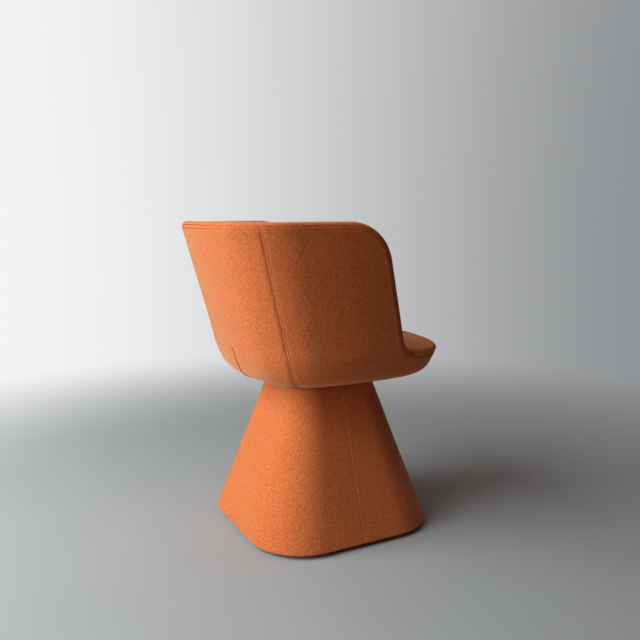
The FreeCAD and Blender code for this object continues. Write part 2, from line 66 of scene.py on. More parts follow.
# A plain pale floor that fades into the backdrop. One large window at the left of the picture
# lights the chair. A weak lamp above, a weak warm one at the right and the room's warm bounce
# fill its shaded side.
class Socket:
    """A shader socket that takes arithmetic, and from which other nodes are added."""

    def __init__(self, tree, socket):
        self.tree = tree
        self.socket = socket

    def node(self, kind, settings=None, out=0, **values):
        """New node, its settings first, then values or links of its inputs, by name or as i0,
        i1 and so on by number. Gives its output number out."""
        node = self.tree.nodes.new(kind)
        for name, value in (settings or {}).items():
            setattr(node, name, value)
        for name, value in values.items():
            key = int(name[1:]) if name[0] == "i" and name[1:].isdigit() else name.replace("_", " ")
            if isinstance(value, Socket):
                self.tree.links.new(value.socket, node.inputs[key])
            else:
                node.inputs[key].default_value = value
        return Socket(self.tree, node.outputs[out])

    def maths(self, operation, first, second=0.0):
        return self.node("ShaderNodeMath", {"operation": operation}, i0=first, i1=second)

    def __add__(self, other):
        return self.maths("ADD", self, other)

    def __mul__(self, other):
        return self.maths("MULTIPLY", self, other)

    __radd__ = __add__
    __rmul__ = __mul__

    def __rsub__(self, other):
        return self.maths("SUBTRACT", other, self)

    def band(self, low, high):
        """0 below low, 1 above high, smooth between."""
        return self.node("ShaderNodeMapRange", {"interpolation_type": "SMOOTHSTEP"},
                         Value=self, From_Min=low, From_Max=high)

    def mix(self, first, second):
        """Colour mix of first and second, with this as the factor."""
        return self.node("ShaderNodeMix", {"data_type": "RGBA"}, out=2,
                         i0=self, i6=first, i7=second)

    def stretched(self, x, y, z):
        return self.node("ShaderNodeVectorMath", {"operation": "MULTIPLY"}, i0=self, i1=(x, y, z))

    def noise(self, scale, detail=2.0, roughness=0.5):
        return self.node("ShaderNodeTexNoise", Vector=self, Scale=scale, Detail=detail,
                         Roughness=roughness)


def material(name, **constants):
    """New material. Gives it, its Principled BSDF and the object coordinates."""
    new = bpy.data.materials.new(name)
    new.use_nodes = True
    shader = new.node_tree.nodes["Principled BSDF"]
    for key, value in constants.items():
        shader.inputs[key.replace("_", " ")].default_value = value
    start = Socket(new.node_tree, None)
    return new, shader, start.node("ShaderNodeTexCoord", out=3)


def feed(shader, **links):
    for key, value in links.items():
        value.tree.links.new(value.socket, shader.inputs[key.replace("_", " ")])


def bumped(height, strength, distance):
    return height.node("ShaderNodeBump", Height=height, Strength=strength, Distance=distance)


def mesh_object(name, points, faces, finish):
    mesh = bpy.data.meshes.new(name)
    mesh.from_pydata([tuple(point) for point in points], [], [tuple(face) for face in faces])
    mesh.validate()
    mesh.polygons.foreach_set("use_smooth", [True] * len(mesh.polygons))
    mesh.materials.append(finish)
    return add_object(name, mesh)


floor_half = 8
floor_dull, floor_pale = (0.365, 0.37, 0.38, 1), (0.395, 0.40, 0.41, 1)
fade_from, fade_to = 0.8, 2.3
floor_finish, floor_shader, place = material("pale_floor", Roughness=0.7)
away = place.node("ShaderNodeVectorMath", {"operation": "LENGTH"}, out=1, i0=place)
feed(floor_shader, Base_Color=place.noise(1.5).band(0.2, 0.8).mix(floor_dull, floor_pale),
     Alpha=1 - away.band(fade_from, fade_to))
corners = [(x * floor_half, y * floor_half, 0) for x, y in ((-1, -1), (1, -1), (1, 1), (-1, 1))]
floor = mesh_object("floor", corners, [(0, 1, 2, 3)], floor_finish)

# name, how far to the left, towards the camera and up, size, watts, tint
lamps = (("window", 2.08, 0.99, 1.62, 2.5, 121.0, (0.94, 1.04, 1.04)),
         ("ceiling", 0.2, 0.1, 2.6, 2.6, 7.0, (1.0, 0.92, 0.84)),
         ("fill", -1.6, 2.2, 1.2, 2.4, 1.0, (1.0, 0.60, 0.45)))
lamp_aim = Vector((0, 0, 0.5))
for name, sideways, forward, height, size, watts, tint in lamps:
    light = bpy.data.lights.new(name, "AREA")
    light.size = size
    light.energy = watts
    light.color = tint
    lamp = add_object(name, light)
    lamp.location = image_left * sideways + toward_camera * forward + Vector((0, 0, height))
    lamp.rotation_euler = (lamp_aim - lamp.location).to_track_quat("-Z", "Y").to_euler()

bounce, bounce_strength = (0.73, 0.30, 0.18, 1), 0.06
wall_shaded, wall_lit = (0.27, 0.28, 0.29, 1), (0.90, 0.91, 0.92, 1)
world = bpy.data.worlds.new("room")
world.use_nodes = True
scene.world = world
sky = Socket(world.node_tree, None)
rays = world.node_tree.nodes.new("ShaderNodeLightPath")
seen = Socket(world.node_tree, rays.outputs["Is Camera Ray"])
for other in ("Is Glossy Ray", "Is Transmission Ray"):
    seen = sky.maths("MAXIMUM", seen, Socket(world.node_tree, rays.outputs[other]))
view_direction = sky.node("ShaderNodeTexCoord")
leftward = view_direction.node("ShaderNodeVectorMath", {"operation": "DOT_PRODUCT"}, out=1,
                               i0=view_direction, i1=tuple(image_left))
wall = leftward.band(-0.50, 0.46).mix(wall_shaded, wall_lit)
backdrop = world.node_tree.nodes["Background"]
feed(backdrop, Color=seen.mix(bounce, wall),
     Strength=seen * (1 - bounce_strength) + bounce_strength)


# The tub: foam moulded round a shell, in a sewn cover of orange melange wool. One inner part
# lines the tub and turns over the rim, and a rear, a left and a right panel cover the outside.
# They meet in a seam just under the rim and in a seam down each rear corner.
chair_height = 0.770
tub_underside = 0.378
seat_edge_height = 0.468
seat_half_width, seat_rear, seat_front = 0.252, 0.247, 0.280
rim_half_width, rim_rear = 0.268, 0.333
corner_share, bulge_share = 0.58, 0.04
bowl_heights = (0.0, 0.12, 0.33, 0.62)
bowl_sides = (0.53, 0.735, 0.897, 0.955)
bowl_fronts = (0.42, 0.820, 0.915, 0.967)
back_heights = (0.0, 0.06, 0.2, 0.4, 0.6, 0.8, 1.0)
wall_thick = 0.041
rim_round = 0.0185
rim_seam_drop = 0.012
corner_seam_angle, corner_seam_tilt, corner_seam_height = radians(55), radians(9.6), 0.276
wing_front_at_seat, wing_front_at_rim = 0.108, 0.036
wing_corner_radius, wing_root_radius = 0.114, 0.032
hub_opening = 0.104
hem_swell = 0.0013
rim_settle, settle_turn, settle_spread = 0.0014, radians(40), radians(14)
settle_from, settle_over = 0.730, 0.036


def smooth_through(knots, values):
    """Curve through values at knots, with no overshoot."""
    knots = np.array(knots, float)
    values = np.array(values, float)
    steps = np.diff(knots)
    slopes = np.diff(values) / steps
    bends = np.zeros(len(knots))
    for i in range(1, len(knots) - 1):
        if slopes[i - 1] * slopes[i] > 0:
            before, after = 2 * steps[i] + steps[i - 1], steps[i] + 2 * steps[i - 1]
            bends[i] = (before + after) / (before / slopes[i - 1] + after / slopes[i])
    bends[0], bends[-1] = slopes[0], slopes[-1]

    def curve(place):
        place = np.clip(place, knots[0], knots[-1])
        i = np.clip(np.searchsorted(knots, place) - 1, 0, len(steps) - 1)
        t = (place - knots[i]) / steps[i]
        return (values[i] * (1 + 2 * t) * (1 - t) ** 2 + bends[i] * steps[i] * t * (1 - t) ** 2
                + values[i + 1] * t * t * (3 - 2 * t) - bends[i + 1] * steps[i] * t * t * (1 - t))
    return curve


heights = [tub_underside + (seat_edge_height - tub_underside) * share for share in bowl_heights]
half_widths = [seat_half_width * share for share in bowl_sides]
rears = [seat_rear * share for share in bowl_sides]
fronts = [seat_front * share for share in bowl_fronts]
for share in back_heights:
    heights.append(seat_edge_height + (chair_height - seat_edge_height) * share)
    half_widths.append(seat_half_width + (rim_half_width - seat_half_width) * share)
    rears.append(seat_rear + (rim_rear - seat_rear) * share)
    fronts.append(seat_front)
climb = [0.0]
for rise, widening in zip(np.diff(heights), np.diff(half_widths)):
    climb.append(climb[-1] + np.hypot(rise, widening))
height_at, half_width_at, rear_at, front_at = (
    smooth_through(climb, values) for values in (heights, half_widths, rears, fronts))
fine_climb = np.linspace(0, climb[-1], 2000)
fine_height = height_at(fine_climb)


def climb_at(z):
    return np.interp(z, fine_height, fine_climb)


def ray_to_arc(along, across, centre_x, centre_y, radius):
    """How far the ray from the origin by along and across goes to reach an arc."""
    onto = along * centre_x + across * centre_y
    return onto + np.sqrt(np.maximum(onto ** 2 - centre_x ** 2 - centre_y ** 2 + radius ** 2, 0))


def tub_radius(turn, half_width, reach, inset):
    """Distance from the axis to the tub's outline, at turn from straight back or straight
    ahead: a side arc, a corner arc and an end arc, tangent to each other."""
    corner = corner_share * np.minimum(half_width, reach)
    side_bulge, end_bulge = bulge_share * half_width, bulge_share * reach
    x = half_width - side_bulge - corner
    y = reach - end_bulge - corner
    side = ((half_width - x) ** 2 + y ** 2 - corner ** 2) / (2 * side_bulge)
    end = ((reach - y) ** 2 + x ** 2 - corner ** 2) / (2 * end_bulge)
    side_turn = np.arctan2(y, x - half_width + side)
    end_turn = np.arctan2(y - reach + end, x)
    side_join = np.arctan2(half_width - side + (side - inset) * np.cos(side_turn),
                           (side - inset) * np.sin(side_turn))
    end_join = np.arctan2((end - inset) * np.cos(end_turn),
                          reach - end + (end - inset) * np.sin(end_turn))
    along, across = np.sin(turn), np.cos(turn)
    on_side = ray_to_arc(along, across, half_width - side, 0, side - inset)
    on_corner = ray_to_arc(along, across, x, y, corner - inset)
    on_end = ray_to_arc(along, across, 0, reach - end, end - inset)
    return np.where(turn > side_join, on_side, np.where(turn < end_join, on_end, on_corner))


def tub_point(turn, up_wall, inset=0.0):
    """Point of the tub at turn from straight back towards +X, a climb up its wall, and inset
    from its outer surface."""
    given = (np.asarray(value, float) for value in (turn, up_wall, inset))
    turn, up_wall, inset = np.broadcast_arrays(*given)
    behind = np.abs(turn) < pi / 2
    quarter_turn = np.where(behind, np.abs(turn), pi - np.abs(turn))
    reach = np.where(behind, rear_at(up_wall), front_at(up_wall))
    radius = tub_radius(quarter_turn, half_width_at(up_wall), reach, inset)
    return np.stack([radius * np.sin(turn), radius * np.cos(turn), height_at(up_wall)], -1)


def first_turn(low, high, shape, reached):
    """Turns between low and high, in degrees, at which reached comes true."""
    low, high = np.full(shape, radians(low)), np.full(shape, radians(high))
    for _ in range(40):
        middle = (low + high) / 2
        beyond = reached(middle)
        low, high = np.where(beyond, low, middle), np.where(beyond, middle, high)
    return (low + high) / 2


def turn_for(y, z, inset):
    """Turn at which the tub's outline, on the side at +X, is at y."""
    return first_turn(40, 160, np.shape(y),
                      lambda turn: tub_point(turn, climb_at(z), inset)[..., 1] < y)


def from_corner_seam(point):
    """Distance from the tilted plane that the corner seam lies in."""
    flat = np.abs(point[..., 0]) * cos(corner_seam_angle) - point[..., 1] * sin(corner_seam_angle)
    above = point[..., 2] - corner_seam_height
    return flat * cos(corner_seam_tilt) + above * sin(corner_seam_tilt)


seam_climbs = np.linspace(0, climb[-1], 120)
seam_turns = first_turn(20, 80, seam_climbs.shape,
                        lambda turn: from_corner_seam(tub_point(turn, seam_climbs)) > 0)
drawn_seam = radians(42)
bend_reach, bend_fade = radians(34), radians(28)


def bent(turns, up_wall):
    """Mesh columns, drawn as if the corner seam were upright, moved to where it runs."""
    near = np.clip((bend_reach - np.abs(turns - drawn_seam)) / bend_fade, 0, 1)
    return turns + (np.interp(up_wall, seam_climbs, seam_turns) - drawn_seam) * near


def eased(share):
    """A share from 0 to 1, with a soft start and end."""
    return share * share * (3 - 2 * share)


def hump(distance, width):
    """1 where distance is 0, fading out to both sides over about the width."""
    return np.exp(-(distance / width) ** 2)


def settled(points):
    """The rim drops a little over each rear corner, where the cover pulls the foam in."""
    turns = np.abs(np.arctan2(points[..., 0], points[..., 1]))
    near_rim = eased(np.clip((points[..., 2] - settle_from) / settle_over, 0, 1))
    lowered = np.array(points, float)
    lowered[..., 2] -= rim_settle * hump(turns - settle_turn, settle_spread) * near_rim
    return lowered


lean = np.arctan2(wing_front_at_seat - wing_front_at_rim, chair_height - seat_edge_height)
seam_columns = np.radians([-5, -3.4, -2.3, -1.5, -1.0, -0.6, -0.3, 0,
                           0.3, 0.6, 1.0, 1.5, 2.3, 3.4, 5])
top_turns = np.concatenate([np.radians(np.linspace(0, 35.8, 46)), drawn_seam + seam_columns,
                            np.radians(np.linspace(48.2, 77.4, 38))])
corner_steps, straight_steps, root_steps = 24, 46, 12
wing_turn, shift_from, shift_over = radians(79), radians(55), radians(24)


def wing_corner(drop):
    """The meeting point of the rim line and the front edge line, and of that and the seat
    edge line, all drawn in by drop."""
    def at(z):
        return -(wing_front_at_rim - drop / cos(lean) + (chair_height - z) * tan(lean))
    return at(chair_height - drop), at(seat_edge_height - drop)


def unit(vector):
    return vector / np.linalg.norm(vector)


def corner_centre(before, corner, after, radius):
    """Centre of the arc of radius that rounds a corner between two lines."""
    to_before, to_after = unit(before - corner), unit(after - corner)
    half = np.arccos(np.dot(to_before, to_after)) / 2
    return corner + unit(to_before + to_after) * radius / sin(half)


def edge_line(drop):
    """(y, z) down the front edge of a wing, from the rim line to the seat edge line, drawn in
    by drop."""
    top_y, root_y = wing_corner(drop)
    top = np.array([top_y, chair_height - drop])
    root = np.array([root_y, seat_edge_height - drop])
    upper = corner_centre(top + np.array([1, 0]), top, root, wing_corner_radius - drop)
    lower = corner_centre(top, root, root + np.array([-1, 0]), wing_root_radius + drop)
    line = []
    for step in range(corner_steps + 1):
        angle = pi / 2 + (pi / 2 - lean) * step / corner_steps
        line.append(upper + (wing_corner_radius - drop) * np.array([cos(angle), sin(angle)]))
    foot = lower + (wing_root_radius + drop) * np.array([cos(-lean), sin(-lean)])
    last = line[-1]
    for step in range(1, straight_steps + 1):
        line.append(last + (foot - last) * step / straight_steps)
    for step in range(1, root_steps + 1):
        angle = -lean - (pi / 2 - lean) * step / root_steps
        line.append(lower + (wing_root_radius + drop) * np.array([cos(angle), sin(angle)]))
    return np.array(line)


def rim_row(inset, drop):
    """(turn, climb) along the rim and down one wing's front edge, drop below the edge."""
    line = edge_line(drop)
    turns = turn_for(line[:, 0], line[:, 1], inset)
    top = climb_at(chair_height - drop)
    late = np.clip((top_turns - shift_from) / shift_over, 0, 1) ** 2
    rim_turns = bent(top_turns + (turns[0] - wing_turn) * late, top)
    return (np.concatenate([rim_turns, turns]),
            np.concatenate([np.full(len(top_turns), top), climb_at(line[:, 1])]))


class Skin:
    """Points and faces of one half of the tub's skin, to be mirrored, with each point's sink:
    how far it is pulled in afterwards."""

    def __init__(self):
        self.points, self.faces, self.labels, self.sink = [], [], [], []

    def add(self, points, sink=0.0):
        first = len(self.points)
        self.points.extend(points)
        self.sink.extend(np.broadcast_to(sink, len(points)))
        return list(range(first, len(self.points)))

    def row(self, turns, climbs, inset, sink=0.0):
        return self.add(tub_point(turns, climbs, inset), sink)

    def strip(self, one, other, label):
        for i in range(len(one) - 1):
            self.faces.append((one[i], one[i + 1], other[i + 1], other[i]))
            self.labels.append(label)


stitch_offset = 0.0042
groove_depth, groove_width = 0.0012, 0.0009
stitch_sink, stitch_sink_width = 0.0007, 0.0012
seam_swell, seam_swell_at, seam_swell_width = 0.0005, 0.0095, 0.0045


def seam_sink(distance):
    """How deep the cover sinks beside a seam: a groove, a shallow line under each row of
    stitches, and a low swell outside them."""
    distance = np.abs(distance)
    groove = groove_depth * hump(distance, groove_width)
    stitched = stitch_sink * hump(distance - stitch_offset, stitch_sink_width)
    return groove + stitched - seam_swell * hump(distance - seam_swell_at, seam_swell_width)


seam_angle = np.arcsin(1 - rim_seam_drop / rim_round)
skin = Skin()
outer_rows = [(0.0, drop) for drop in (0.030, 0.0265, 0.0235, 0.021)]
straight_rows = len(outer_rows)
angles = [0, 0.09, 0.17, 0.23, 0.28, 0.32, seam_angle, 0.40, 0.44, 0.50, 0.57, 0.66, 0.8, 0.98,
          1.17, 1.37, pi / 2]
round_rows = [(rim_round * (1 - cos(angle)), rim_round * (1 - sin(angle))) for angle in angles]
outer_rows += round_rows
inner_rows = [(wall_thick - inset, drop) for inset, drop in round_rows[::-1][::2]]
inner_rows += [(wall_thick, 0.024), (wall_thick, 0.030)]
seam_row = straight_rows + angles.index(seam_angle)
rows = []
for number, (inset, drop) in enumerate(outer_rows + [(wall_thick / 2, 0.0)] + inner_rows):
    turns, climbs = rim_row(inset, drop)
    sink = 0.0
    if number < straight_rows:
        sink = seam_sink(drop - rim_seam_drop)
    elif number < len(outer_rows):
        sink = seam_sink((angles[number - straight_rows] - seam_angle) * rim_round)
    rows.append((skin.row(turns, climbs, inset, sink), turns, climbs))
for number in range(len(rows) - 1):
    label = "outer" if number < seam_row else "inner"
    skin.strip(rows[number][0], rows[number + 1][0], label)


def border_line(numbers, turns, climbs):
    """Part of a border: point numbers with their turns and climbs, either of them one value
    for all or one for each."""
    count = len(numbers)
    return list(zip(numbers, np.broadcast_to(turns, count), np.broadcast_to(climbs, count)))


def fill(skin, border, columns, climbs, inset, label):
    """Fills the space inside border, a closed line, with points at columns and climbs and
    with triangles between them. The work is done on the wall rolled out flat."""
    mean_radius, clear_of_border = 0.26, 0.0022
    flat = [(turn * mean_radius, up_wall) for _, turn, up_wall in border]
    numbers = [number for number, _, _ in border]
    edges = [(i, (i + 1) % len(flat)) for i in range(len(flat))]
    outline = np.array(flat)
    column, up_wall = np.meshgrid(columns, climbs)
    across, up = bent(column, up_wall).ravel() * mean_radius, up_wall.ravel()
    inside = np.zeros(len(across), bool)
    nearest = np.full(len(across), 1.0)
    for (ax, ay), (bx, by) in zip(outline, np.roll(outline, -1, 0)):
        crosses = (ay > up) != (by > up)
        with np.errstate(divide="ignore", invalid="ignore"):
            at = (bx - ax) * (up - ay) / (by - ay) + ax
        inside ^= crosses & (across < at)
        length = (bx - ax) ** 2 + (by - ay) ** 2
        share = ((across - ax) * (bx - ax) + (up - ay) * (by - ay)) / max(length, 1e-12)
        share = np.clip(share, 0, 1)
        gap = np.hypot(across - ax - share * (bx - ax), up - ay - share * (by - ay))
        nearest = np.minimum(nearest, gap)
    chosen = np.stack([across, up], -1)[inside & (nearest > clear_of_border)]
    numbers += skin.add(tub_point(chosen[:, 0] / mean_radius, chosen[:, 1], inset))
    result = delaunay_2d_cdt([Vector(p) for p in [*flat, *chosen]], edges, [], 1, 1e-7)
    where = [sources[0] if sources else None for sources in result[3]]
    for face in result[2]:
        skin.faces.append(tuple(numbers[where[i]] for i in face))
        skin.labels.append(label)


under_seam = 0.4476
front_tuck_drop, front_tuck_inset = 0.0012, 0.0065
row_gap = 0.0065
front_columns = np.radians([177.2, 178.0, 178.6, 179.0, 179.3, 179.55, 179.78])
columns = np.concatenate([top_turns[1:], np.radians(np.arange(79.0, 176.6, 1.55)),
                          front_columns])
first_row, turns, climbs = rows[0]
front_top = climb_at(under_seam)
front_turns = np.append(columns[columns > turns[-1] + radians(0.8)], pi)
front_numbers = skin.row(front_turns, front_top, 0.0)
front_tuck = skin.row(front_turns, climb_at(under_seam - front_tuck_drop), front_tuck_inset)
skin.strip(front_tuck, front_numbers, "outer")
foot_rows = [row for row in rows[1:straight_rows] if height_at(row[2][-1]) < under_seam]

# a hem runs round the underside's edge
hem_climbs = [0.0075, 0.0062, 0.0052, 0.0044, 0.0037, 0.0030, 0.0023, 0.0015, 0.0008, 0.0]
hem_at, hem_spread = 0.0030, 0.0016
bottom_turns = bent(np.concatenate([[0.0], columns, [pi]]), hem_climbs[0])
hem_rows = [skin.row(bottom_turns, up_wall, 0.0, -hem_swell * hump(up_wall - hem_at, hem_spread))
            for up_wall in hem_climbs]
for upper_row, lower_row in zip(hem_rows, hem_rows[1:]):
    skin.strip(upper_row, lower_row, "outer")
side_climbs = np.arange(hem_climbs[0] + row_gap, front_top - row_gap / 2, row_gap)
side_numbers = skin.row(pi, side_climbs, 0.0)
rear_climbs = np.arange(hem_climbs[0] + row_gap, climbs[0] - row_gap / 2, row_gap)
rear_numbers = skin.row(0.0, rear_climbs, 0.0)
border = border_line(first_row, turns, climbs)
border += [(row[0][-1], row[1][-1], row[2][-1]) for row in foot_rows]
border += border_line(front_numbers, front_turns, front_top)
border += border_line(side_numbers[::-1], pi, side_climbs[::-1])
border += border_line(hem_rows[0][::-1], bottom_turns[::-1], hem_climbs[0])
border += border_line(rear_numbers, 0.0, rear_climbs)
fill(skin, border, columns, np.arange(hem_climbs[0] + row_gap, climb[-1], row_gap), 0.0, "outer")

# the underside turns in to the opening round the swivel, and up into it
hub_turn_up = 0.007
previous = hem_rows[-1]
start = tub_point(bottom_turns, 0.0)
for share, rise in ((0.06, 0.0), (0.2, 0.0), (0.6, 0.0), (1.0, 0.0), (1.0, hub_turn_up)):
    ring = np.stack([np.sin(bottom_turns), np.cos(bottom_turns)], -1) * hub_opening
    flat = start[:, :2] * (1 - share) + ring * share
    numbers = skin.add(np.column_stack([flat, np.full(len(flat), tub_underside + rise)]))
    skin.strip(previous, numbers, "outer")
    previous = numbers

# the inner wall goes down below the seat
lining_low, lining_gap = 0.440, 0.008
last_row, turns, climbs = rows[-1]
inner_low = climb_at(lining_low)
low_turns = np.radians(np.arange(1.5, 112, 2.0))[::-1]
low_numbers = skin.row(low_turns, inner_low, wall_thick)
middle_climbs = np.arange(inner_low, climbs[0] - lining_gap / 2, lining_gap)
middle_numbers = skin.row(0.0, middle_climbs, wall_thick)
border = border_line(last_row, turns, climbs)
border += border_line(low_numbers, low_turns, inner_low)
border += border_line(middle_numbers, 0.0, middle_climbs)
fill(skin, border, np.radians(np.arange(2, 130, 2.0)),
     np.arange(inner_low, climb[-1], lining_gap), wall_thick, "inner")

# the foam swells and sinks a little under the cover, which puckers beside its seams
swell_scale, swell_depth = 9.0, 0.0007
pucker_scale, pucker_depth, pucker_reach, rim_pucker_height = 120.0, 0.0005, 0.008, 0.755
points = np.array(skin.points)
on_outside = np.zeros(len(points), bool)
for face, label in zip(skin.faces, skin.labels):
    if label == "outer":
        on_outside[list(face)] = True
front_seam = np.where((points[:, 1] < 0) & (points[:, 2] < under_seam + 0.001), points[:, 0], 1.0)
seams = seam_sink(from_corner_seam(points)) + seam_sink(front_seam)
swell = np.array([noise.noise(Vector(point) * swell_scale) for point in points])
puckers = np.array([noise.noise(Vector(point) * pucker_scale) for point in points])
beside_seams = (hump(from_corner_seam(points), pucker_reach)
                + hump(points[:, 2] - rim_pucker_height, pucker_reach))
seams = seams + pucker_depth * puckers * beside_seams
sink = np.array(skin.sink) + np.where(on_outside, seams, 0) - swell_depth * swell


def with_mirror_image(points, faces):
    """Both halves of a piece, from its half at +X, and which points were doubled."""
    off_middle = np.abs(points[:, 0]) > 1e-6
    image_number = np.where(off_middle, len(points) + np.cumsum(off_middle) - 1,
                            np.arange(len(points)))
    image_faces = [tuple(int(image_number[i]) for i in face[::-1]) for face in faces]
    both = np.concatenate([points, points[off_middle] * np.array([-1, 1, 1])])
    return both, faces + image_faces, off_middle


all_points, faces, doubled = with_mirror_image(points, skin.faces)
all_sink = np.concatenate([sink, sink[doubled]])
labels = skin.labels * 2


def part_of(face, label):
    middle = np.mean([all_points[i] for i in face], 0)
    if label == "inner":
        return "inner_cover"
    if from_corner_seam(middle) < 0:
        return "rear_panel"
    return "left_panel" if middle[0] > 0 else "right_panel"


# the sink follows the normals of the whole skin, so that its panels still meet afterwards
whole = bpy.data.meshes.new("whole_tub")
whole.from_pydata([tuple(p) for p in all_points], [], faces)
whole.validate()
shape = bmesh.new()
shape.from_mesh(whole)
bmesh.ops.recalc_face_normals(shape, faces=shape.faces)
shape.normal_update()
top_face = max(shape.faces, key=lambda face: face.calc_center_median().z)
inside_out = top_face.normal.z < 0
normals = np.array([tuple(vert.normal) for vert in shape.verts]) * (-1 if inside_out else 1)
final_points = settled(all_points - normals * all_sink[:, None])
faces = [tuple(vert.index for vert in face.verts)[::-1 if inside_out else 1]
         for face in shape.faces]
shape.free()
bpy.data.meshes.remove(whole)

# The wool is felted from short fibres of several oranges, a little longer up and down than
# across.
wool_deep = (0.415, 0.062, 0.013, 1)
wool_mid = (0.600, 0.126, 0.032, 1)
wool_pale = (0.840, 0.300, 0.105, 1)
wool_cloud = (0.64, 0.17, 0.052, 1)
wool, wool_shader, place = material("orange_wool", Roughness=0.95, Sheen_Weight=0.50,
                                    Sheen_Roughness=0.40, Sheen_Tint=(1.0, 0.88, 0.56, 1),
                                    Specular_IOR_Level=0.15)
upright = place.stretched(1.0, 1.0, 0.45)
speckle = upright.noise(680.0, 3.0, 0.62)
clumps = upright.noise(300.0, 2.0, 0.5)
fibres = upright.noise(1700.0, 2.0, 0.7)
cloud = place.noise(7.0, 2.0)
melange = speckle * 0.62 + clumps * 0.14 + fibres * 0.24
colour = melange.band(0.38, 0.51).mix(wool_deep, wool_mid)
colour = melange.band(0.50, 0.63).mix(colour, wool_pale)
colour = (cloud.band(0.3, 0.7) * 0.2).mix(colour, wool_cloud)
feed(wool_shader, Base_Color=colour, Roughness=fibres * 0.15 + 0.82,
     Normal=bumped(speckle * 0.6 + fibres * 0.5 + clumps * 0.4, 0.55, 0.0012))

panels = (("inner_cover", ("inner_cover", "tub_foam")), ("rear_panel", ("outer_cover_rear",)),
          ("left_panel", ("outer_cover_left",)), ("right_panel", ("outer_cover_right",)))
for part_name, nodes in panels:
    chosen = [face for face, label in zip(faces, labels) if part_of(face, label) == part_name]
    used = sorted({i for face in chosen for i in face})
    renumber = {old: new for new, old in enumerate(used)}
    panel_faces = [[renumber[i] for i in face] for face in chosen]
    piece = mesh_object("tub_" + part_name, final_points[used], panel_faces, wool)
    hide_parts(*nodes)
    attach(piece, "seat")


# Topstitching on both sides of each corner seam and of the seam under the rim: a doubled thread of
# the cover's colour, sewn through the cover and the seam allowance behind it. Its colours are set
# darker than the cover's: painted shade of the holes where the thread sinks into the cloth.
# both thread colours carry painted shade: darker than the wool, as the shade in the stitch holes
thread_shade_dark, thread_shade_light = (0.20, 0.032, 0.009, 1), (0.46, 0.11, 0.034, 1)
thread, thread_shader, place = material("orange_thread", Roughness=0.8, Specular_IOR_Level=0.1)
strands = place.noise(2600.0, 2.0)
feed(thread_shader, Base_Color=strands.band(0.35, 0.65).mix(thread_shade_dark, thread_shade_light),
     Normal=bumped(strands, 0.4, 0.0004))
stitch_length, stitch_gap, stitch_radius, stitch_bed = 0.0038, 0.0020, 0.00085, 0.0004
stitch_sides = 6
# share of the length, width and lift, both in stitch radii
stitch_rings = ((0.0, 0.35, -0.7), (0.14, 0.9, 0.1), (0.5, 1.0, 0.45), (0.86, 0.9, 0.1),
                (1.0, 0.35, -0.7))


def row_at(length, lengths, rows):
    """The row of coordinates at a length along a line."""
    return np.array([np.interp(length, lengths, rows[:, axis]) for axis in range(3)])


def stitches(lines):
    """Points and faces of the stitches along lines, each given as its points and normals."""
    made_points, made_faces = [], []
    for line, outward in lines:
        lengths = np.concatenate([[0], np.cumsum(np.linalg.norm(np.diff(line, axis=0), axis=1))])
        at = stitch_gap
        while at + stitch_length < lengths[-1]:
            start, away = row_at(at, lengths, line), row_at(at, lengths, outward)
            along = row_at(at + stitch_length, lengths, line) - start
            across = unit(np.cross(along, away)) * stitch_radius
            lift = unit(away) * stitch_radius
            first = len(made_points)
            for share, wide, rise in stitch_rings:
                for side in range(stitch_sides):
                    angle = 2 * pi * side / stitch_sides
                    made_points.append(start + along * share + across * cos(angle) * wide
                                       + lift * (sin(angle) * wide + rise))
            for ring in range(len(stitch_rings) - 1):
                for side in range(stitch_sides):
                    a = first + ring * stitch_sides + side
                    b = first + ring * stitch_sides + (side + 1) % stitch_sides
                    made_faces.append((a, b, b + stitch_sides, a + stitch_sides))
            last = len(made_points) - stitch_sides
            made_faces.append(tuple(first + side for side in reversed(range(stitch_sides))))
            made_faces.append(tuple(last + side for side in range(stitch_sides)))
            at += stitch_length + stitch_gap
    return made_points, made_faces


def tub_normal(turn, up_wall):
    """The way out of the tub's outer surface."""
    step = 1e-4
    along = tub_point(turn + step, up_wall) - tub_point(turn - step, up_wall)
    upward = tub_point(turn, up_wall + step) - tub_point(turn, up_wall - step)
    out = np.cross(upward, along)
    out = out / np.linalg.norm(out, axis=-1)[..., None]
    point = tub_point(turn, up_wall)
    outward = np.column_stack([point[:, :2], np.full(len(point), -0.02)])
    return out * np.sign(np.sum(out * outward, -1))[:, None]


def line_on_tub(turns, climbs, lift):
    """A stitch line lifted off the tub's outer surface, and its normals."""
    outward = tub_normal(turns, climbs)
    return tub_point(turns, climbs) + outward * lift, outward


def on_both_sides(half_lines):
    """Stitch lines with their normals, and their mirror images."""
    return [(line * np.array([side, 1, 1]), outward * np.array([side, 1, 1]))
            for side in (-1, 1) for line, outward in half_lines]


def sew(name, lines):
    sewn = mesh_object(name, *stitches(lines), thread)
    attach(sewn, "seat")


lines = []
up_seam = np.linspace(0.009, climb_at(chair_height - rim_round), 110)
for offset in (-stitch_offset, stitch_offset):
    turns = np.interp(up_seam, seam_climbs, seam_turns)
    turns = turns + offset / np.linalg.norm(tub_point(turns, up_seam)[:, :2], axis=1)
    line, outward = line_on_tub(turns, up_seam, -stitch_bed)
    lines.append((settled(line), outward))
sew("corner_seam_stitches", on_both_sides(lines))

lines = []
rim_middle = tub_point(*rim_row(wall_thick / 2, rim_round), wall_thick / 2)
for angle in (seam_angle - stitch_offset / rim_round, seam_angle + stitch_offset / rim_round):
    inset = rim_round * (1 - cos(angle))
    turns, climbs = rim_row(inset, rim_round * (1 - sin(angle)))
    line = tub_point(turns, climbs, inset)
    outward = line - rim_middle
    outward = outward / np.linalg.norm(outward, axis=1)[:, None]
    lines.append((settled(line - outward * stitch_bed), outward))
sew("rim_seam_stitches", on_both_sides(lines))


